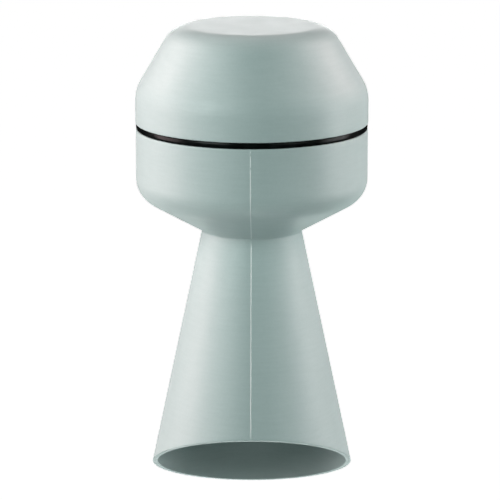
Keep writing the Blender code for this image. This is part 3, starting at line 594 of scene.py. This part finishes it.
def vent_cap(material):
    """Cap with rounded edges, a central boss and ribs under its crown."""
    _, insert_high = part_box("cap_insert")
    boss_z = insert_high.z - BOSS_DEPTH
    crown = CAP_TOP_Z - WALL
    side = Vector((CAP_RADIUS - CAP_TOP_RADIUS, CAP_CREASE_Z - CAP_TOP_Z)).normalized()
    turn_top = WALL * math.tan(math.atan2(-side.y, side.x) / 2)
    turn_crease = WALL * math.tan((math.pi / 2 - math.atan2(-side.y, side.x)) / 2)
    corners = [
        (0, CAP_TOP_Z, 0, 0, 12),
        (CAP_TOP_RADIUS, CAP_TOP_Z, CAP_TOP_FILLET, 24, 12),
        (CAP_RADIUS, CAP_CREASE_Z, CAP_CREASE_FILLET, 18, 8),
        (CAP_RADIUS, CAP_EDGE_Z, CAP_EDGE_FILLET, 5, 2),
        (CAP_RADIUS - WALL, CAP_EDGE_Z, INNER_EDGE_FILLET, 4, 8),
        (CAP_RADIUS - WALL, CAP_CREASE_Z - turn_crease, CAP_CREASE_FILLET - WALL, 14, 10),
        (CAP_TOP_RADIUS - turn_top, crown, CAP_TOP_FILLET - WALL, 14, 8),
        (BOSS_RADIUS, crown, BOSS_ROOT_FILLET, 4, 6),
        (BOSS_RADIUS, boss_z, BOSS_FILLET, 3, 1),
        (BOSS_BORE, boss_z, BOSS_FILLET, 3, 6),
        (BOSS_BORE, insert_high.z + GAP, 0, 0, 3),
        (0, insert_high.z + GAP, 0, 0, 1),
    ]
    mesh = bmesh.new()
    add_skin(mesh, turned_rings(corners))
    cap = new_object("vent_cap", mesh)
    ribs = bmesh.new()
    rib_start = (BOSS_BORE + BOSS_RADIUS) / 2
    middle = WALL / 2
    foot = CAP_CREASE_Z - RIB_FOOT
    # The outer edge stays inside the wall, so each offset is from a corner of the cap
    outline = [
        (rib_start, CAP_TOP_Z - middle),
        (CAP_TOP_RADIUS - 0.008, CAP_TOP_Z - middle),
        (CAP_TOP_RADIUS + 0.002, CAP_TOP_Z - 0.0055),
        (CAP_RADIUS - 0.006, CAP_CREASE_Z + 0.005),
        (CAP_RADIUS - middle, CAP_CREASE_Z - 0.002),
        (CAP_RADIUS - middle, foot),
        (rib_start, boss_z + 0.002),
    ]
    upright = Matrix.Rotation(math.pi / 2, 4, "X")
    for place in around(RIB_COUNT, math.pi / RIB_COUNT):
        add_prism(ribs, outline, -RIB_HALF, RIB_HALF, place @ upright)
    combine(cap, "UNION", ribs)
    dress(cap, "cap", ["cap_shell"], material)


def seal_bead(material):
    """Rubber seal: a rounded bead that fills the gap under the cap, and a leg inside the cap."""
    _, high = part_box("cap_seal")
    outer = CAP_RADIUS - WALL - GAP
    inner = outer - SEAL_LEG
    bottom = DRUM_TOP_Z + SEAL_CLEARANCE
    top = CAP_EDGE_Z - SEAL_CLEARANCE
    face = high.x + SEAL_BULGE
    corners = [
        (inner, bottom + BEAD_HEEL, BEAD_FILLET, 3, 1),
        (face - BEAD_FLAT, bottom, BEAD_SIDE, 2, 1),
        (face - BEAD_SIDE, bottom + BEAD_RISE, BEAD_FILLET, 3, 1),
        (face + BEAD_RISE, (bottom + top) / 2, BEAD_CROWN_FILLET, 10, 1),
        (face - BEAD_SIDE, top - BEAD_RISE, BEAD_FILLET, 3, 1),
        (face - BEAD_FLAT, top, BEAD_SIDE, 2, 1),
        (outer, top, 0, 0, 1),
        (outer, high.z, SEAL_LEG_FILLET, 4, 1),
        (inner, high.z, SEAL_LEG_FILLET, 4, 4),
    ]
    mesh = bmesh.new()
    add_skin(mesh, turned_rings(corners))
    seal = new_object("seal_bead", mesh)
    dress(seal, "cap", ["cap_seal"], material)


def grip_knob(material):
    """Lobed hand knob with a hub for the drive tube, a cross hole for its pin and a recess below."""
    low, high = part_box("control_knob")
    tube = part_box("drive_tube")
    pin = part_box("knob_pin")
    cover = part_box("knob_cap")
    rim = high.x
    top = low.z + KNOB_HEIGHT
    bore = tube[1].x + GAP
    floor_z = tube[0].z - GAP
    recess = cover[1].x + GAP
    corners = [
        (0, floor_z - KNOB_WEB, 0, 0, 4),
        (recess, floor_z - KNOB_WEB, INNER_EDGE_FILLET, 3, 2),
        (recess, low.z, INNER_EDGE_FILLET, 3, 8),
        (rim, low.z, KNOB_EDGE_FILLET, 8, 10),
        (rim, top, KNOB_EDGE_FILLET, 8, 6),
        (KNOB_HUB_RADIUS, top, KNOB_HUB_FILLET, 6, 4),
        (KNOB_HUB_RADIUS, high.z, INNER_EDGE_FILLET, 4, 3),
        (bore, high.z, INNER_EDGE_FILLET, 4, 10),
        (bore, floor_z, 0, 0, 4),
        (0, floor_z, 0, 0, 1),
    ]
    mesh = bmesh.new()
    around_knob = columns(FULL_TURN / (KNOB_LOBES * KNOB_COLUMNS_PER_LOBE))
    add_skin(mesh, turned_rings(corners, around_knob))
    flute_start = KNOB_HUB_RADIUS + KNOB_HUB_MARGIN
    for vertex in mesh.verts:
        radius = math.hypot(vertex.co.x, vertex.co.y)
        share = min(max((radius - flute_start) / (rim - KNOB_EDGE_FILLET - flute_start), 0), 1)
        lobe = math.cos(KNOB_LOBES * math.atan2(vertex.co.y, vertex.co.x))
        flute = KNOB_FLUTE * (0.5 - 0.5 * lobe) * share
        if radius > flute_start:
            vertex.co.x *= 1 - flute / radius
            vertex.co.y *= 1 - flute / radius
    knob = new_object("grip_knob", mesh)
    hole = bmesh.new()
    middle = (pin[0].z + pin[1].z) / 2
    place = Matrix.Translation((0, 0, middle)) @ Matrix.Rotation(math.pi / 2, 4, "Y")
    reach = KNOB_HUB_RADIUS + WALL
    add_prism(hole, circle((pin[1].z - pin[0].z) / 2 + GAP), -reach, reach, place)
    combine(knob, "DIFFERENCE", hole)
    dress(knob, "knob", ["control_knob"], material)


def woven_screen(material):
    """Woven wire cloth, clamped in a rim and round a clear hole for the spindle."""
    low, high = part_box("insect_screen")
    hole = high.x - SCREEN_HOLE_INSET
    rim = high.x - SCREEN_RIM_WIDTH
    hub = hole + SCREEN_HUB_WIDTH
    middle = (low.z + high.z) / 2
    mesh = bmesh.new()
    for inner, outer in ((rim, high.x), (hole, hub)):
        corners = [
            (inner, low.z, SCREEN_FILLET, 3, 1),
            (outer, low.z, SCREEN_FILLET, 3, 1),
            (outer, high.z, SCREEN_FILLET, 3, 1),
            (inner, high.z, SCREEN_FILLET, 3, 1),
        ]
        add_skin(mesh, turned_rings(corners))
    count = int(rim / WIRE_PITCH)
    clamp = WIRE_PITCH / 2
    x_axis = Vector((1, 0, 0))
    y_axis = Vector((0, 1, 0))
    z_axis = Vector((0, 0, 1))
    for along, across, shift in ((x_axis, y_axis, 0), (y_axis, x_axis, 1)):
        for k in range(-count, count + 1):
            side = k * WIRE_PITCH
            reach = math.sqrt((rim + clamp) ** 2 - side * side)
            stretches = [(-reach, reach)]
            if abs(side) < hub - clamp:
                gap = math.sqrt((hub - clamp) ** 2 - side * side)
                stretches = [(-reach, -gap), (gap, reach)]
            for start, end in stretches:
                steps = max(2, round((end - start) / WIRE_PITCH * WIRE_STEPS_PER_PITCH))
                path = []
                for i in range(steps + 1):
                    distance = start + (end - start) * i / steps
                    wave = math.cos(math.pi * (distance / WIRE_PITCH + k + shift)) * WIRE_RADIUS
                    path.append(along * distance + across * side + z_axis * (middle + wave))
                add_wire(mesh, path, across, z_axis)
    screen = new_object("woven_screen", mesh)
    dress(screen, "housing", ["insect_screen"], material)


def threaded_spindle(material):
    """Two-start screw with two flats along it and a circlip groove near its lower end."""
    low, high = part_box("spindle")
    clip_low, clip_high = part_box("stop_circlip")
    insert_low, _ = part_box("cap_insert")
    radius = high.x
    flat = high.y
    pitch = THREAD_LEAD / THREAD_STARTS
    thread_low = clip_high.z + pitch
    thread_high = insert_low.z - pitch
    groove_low = clip_low.z - GAP
    groove_high = clip_high.z + GAP
    levels = [low.z, low.z + SPINDLE_CHAMFER, groove_low, groove_low, groove_high, groove_high]
    groove_rows = (3, 4)
    rows = round((high.z - groove_high) / THREAD_ROW)
    levels += [groove_high + (high.z - groove_high) * i / rows for i in range(1, rows)]
    levels += [high.z - SPINDLE_CHAMFER, high.z]
    angles = columns(FULL_TURN / SPINDLE_COLUMNS)
    mesh = bmesh.new()
    rings = [[Vector((0, 0, low.z))]]
    for row, height in enumerate(levels):
        ring = []
        for angle in angles:
            fade = min(max(min(height - thread_low, thread_high - height) / pitch + 0.5, 0), 1)
            phase = (height / pitch - angle * THREAD_STARTS / FULL_TURN) % 1
            valley = min(max(abs(phase - 0.5) * 4 - 0.6, 0), 1)
            reach = radius - THREAD_DEPTH * (1 - valley) * fade
            if row in (0, len(levels) - 1):
                reach -= SPINDLE_CHAMFER
            reach = min(reach, flat / max(abs(math.sin(angle)), 0.01))
            if row in groove_rows:
                reach = min(reach, flat - GROOVE_DEPTH)
            ring.append(Vector((reach * math.cos(angle), reach * math.sin(angle), height)))
        rings.append(ring)
    rings.append([Vector((0, 0, high.z))])
    add_skin(mesh, rings)
    rod = new_object("threaded_spindle", mesh)
    dress(rod, "cap", ["spindle"], material)


# Carried-over CAD nodes


def edge_shading():
    """Geometry nodes that shade a mesh smooth, apart from its sharp edges."""
    tree = bpy.data.node_groups.new("edge_shading", "GeometryNodeTree")
    tree.interface.new_socket("Geometry", in_out="INPUT", socket_type="NodeSocketGeometry")
    tree.interface.new_socket("Geometry", in_out="OUTPUT", socket_type="NodeSocketGeometry")
    start = tree.nodes.new("NodeGroupInput")
    angle = tree.nodes.new("GeometryNodeInputMeshEdgeAngle").outputs["Unsigned Angle"]
    sharp = add_node(tree, "FunctionNodeCompare", {0: angle, 1: SHARP_ANGLE}, operation="GREATER_THAN")
    inputs = {"Geometry": start.outputs[0], "Shade Smooth": True}
    faces = add_node(tree, "GeometryNodeSetShadeSmooth", inputs, domain="FACE")
    inputs = {"Geometry": faces.outputs[0], "Selection": sharp.outputs[0], "Shade Smooth": False}
    edges = add_node(tree, "GeometryNodeSetShadeSmooth", inputs, domain="EDGE")
    add_node(tree, "NodeGroupOutput", {0: edges.outputs[0]})
    return tree


def refine_node(name, material, shading):
    """Softens the CAD node's edges with modifiers and gives it its material."""
    node = frame["nodes"][name]
    for layer in ("custom_normal", "sharp_edge", "sharp_face"):
        found = node.data.attributes.get(layer)
        if found:
            node.data.attributes.remove(found)
    weld = node.modifiers.new("weld", "WELD")
    weld.merge_threshold = 0.00001
    bevel = node.modifiers.new("bevel", "BEVEL")
    bevel.width = NODE_BEVEL
    bevel.segments = 3
    bevel.limit_method = "ANGLE"
    bevel.angle_limit = SHARP_ANGLE
    smooth = node.modifiers.new("smooth", "NODES")
    smooth.node_group = shading
    even = node.modifiers.new("even", "WEIGHTED_NORMAL")
    even.keep_sharp = True
    for material_slot in node.material_slots:
        material_slot.material = material


# Stage


def floor():
    """A pale floor well below the vent, which hangs over it as on a mount."""
    mesh = bmesh.new()
    bmesh.ops.create_grid(mesh, x_segments=1, y_segments=1, size=FLOOR_HALF)
    ground = new_object("floor", mesh)
    ground.location.z = FLOOR_Z
    material = bpy.data.materials.new("pale_floor")
    material.use_nodes = True
    shader = material.node_tree.nodes["Principled BSDF"]
    shader.inputs["Base Color"].default_value = (0.9, 0.9, 0.9, 1)
    shader.inputs["Roughness"].default_value = 0.9
    shader.inputs["Emission Color"].default_value = (1, 1, 1, 1)
    shader.inputs["Emission Strength"].default_value = 1.0
    ground.data.materials.append(material)
    ground.visible_diffuse = False
    ground.visible_glossy = False


def softbox(name, azimuth, elevation, distance, size, power, tint=NEUTRAL, aim_z=LIGHT_AIM_Z, spread=180):
    """An area light aimed at the vent's axis. Azimuth 0 is the camera's side, 90 the right.

    Angles are in degrees, the size is width by height in metres, and the power is in watts.
    """
    a = math.radians(azimuth)
    e = math.radians(elevation)
    aim = Vector((0, 0, aim_z))
    out = Vector((math.sin(a) * math.cos(e), -math.cos(a) * math.cos(e), math.sin(e)))
    data = bpy.data.lights.new(name, "AREA")
    data.shape = "RECTANGLE"
    data.size, data.size_y = size
    data.energy = power
    data.color = tint
    data.spread = math.radians(spread)
    lamp = bpy.data.objects.new(name, data)
    lamp.visible_camera = False
    lamp.location = aim + out * distance
    lamp.rotation_mode = "QUATERNION"
    lamp.rotation_quaternion = (-out).to_track_quat("-Z", "Y")
    bpy.context.scene.collection.objects.link(lamp)


def world():
    sky = bpy.data.worlds.new("studio")
    bpy.context.scene.world = sky
    sky.use_nodes = True
    back = sky.node_tree.nodes["Background"]
    back.inputs["Color"].default_value = (1, 1, 1, 1)
    back.inputs["Strength"].default_value = 1.0
    sky.cycles_visibility.diffuse = False
    sky.cycles_visibility.glossy = False


def camera():
    back = Vector((0, -math.cos(CAMERA_ELEVATION), math.sin(CAMERA_ELEVATION)))
    data = bpy.data.cameras.new("camera")
    data.lens = CAMERA_LENS
    data.sensor_width = CAMERA_SENSOR
    eye = bpy.data.objects.new("camera", data)
    eye.location = CAMERA_AIM + back * CAMERA_DISTANCE
    eye.rotation_mode = "QUATERNION"
    eye.rotation_quaternion = (-back).to_track_quat("-Z", "Y")
    bpy.context.scene.collection.objects.link(eye)
    bpy.context.scene.camera = eye


camera()
world()
floor()
softbox("key_left", -90, 5, 0.9, (0.5, 0.6), 6.6, WARM)
softbox("high_left", -112, 35, 0.9, (0.4, 0.4), 4.8, WARM)
softbox("front_left", -40, 25, 1.0, (0.5, 0.5), 6.3, COOL)
softbox("front_right", 40, 20, 1.0, (0.5, 0.5), 1.3, COOL)
softbox("fill_right", 90, 5, 0.9, (0.5, 0.6), 5.5)
softbox("high_right", 112, 35, 0.9, (0.4, 0.4), 4.8, WARM)
softbox("backdrop", 180, 12, 0.9, (0.4, 0.3), 3.1)
softbox("low_left", -140, -40, 0.85, (0.5, 0.5), 1.3, COOL)
softbox("low_right", 140, -40, 0.85, (0.5, 0.5), 1.0, COOL)
softbox("low_back", 180, -50, 0.85, (0.5, 0.5), 2.4, COOL)
softbox("below", 0, -75, 0.8, (0.5, 0.5), 1.4, COOL)
# Narrow, so that it brightens the drum's underside and not the inside of the mouth
softbox("shoulder", 0, -66, 0.4, (0.05, 0.05), 0.0017, COOL, aim_z=0.212, spread=18)
bpy.context.scene.view_settings.view_transform = "Standard"

plastic = moulded_plastic()
nylon = black_nylon()
rubber = black_rubber()
steel = turned_metal("turned_steel", (0.62, 0.62, 0.60, 1), (0.50, 0.50, 0.49, 1), 0.27)
brass = turned_metal("turned_brass", (0.66, 0.46, 0.19, 1), (0.50, 0.34, 0.13, 1), 0.28)
alloy = turned_metal("anodised_alloy", (0.58, 0.59, 0.61, 1), (0.50, 0.51, 0.53, 1), 0.36)

vent_body(plastic)
vent_cap(plastic)
seal_bead(rubber)
grip_knob(nylon)
woven_screen(steel)
threaded_spindle(steel)

finishes = {
    "grey_green_plastic": plastic,
    "black_nylon": nylon,
    "black_rubber": rubber,
    "stainless_steel": steel,
    "brass": brass,
    "anodised_aluminium": alloy,
}
shading = edge_shading()
for part in frame["record"]["subparts"]:
    if not frame["nodes"][part["node"]].hide_render:
        refine_node(part["node"], finishes[part["material_slot"]], shading)
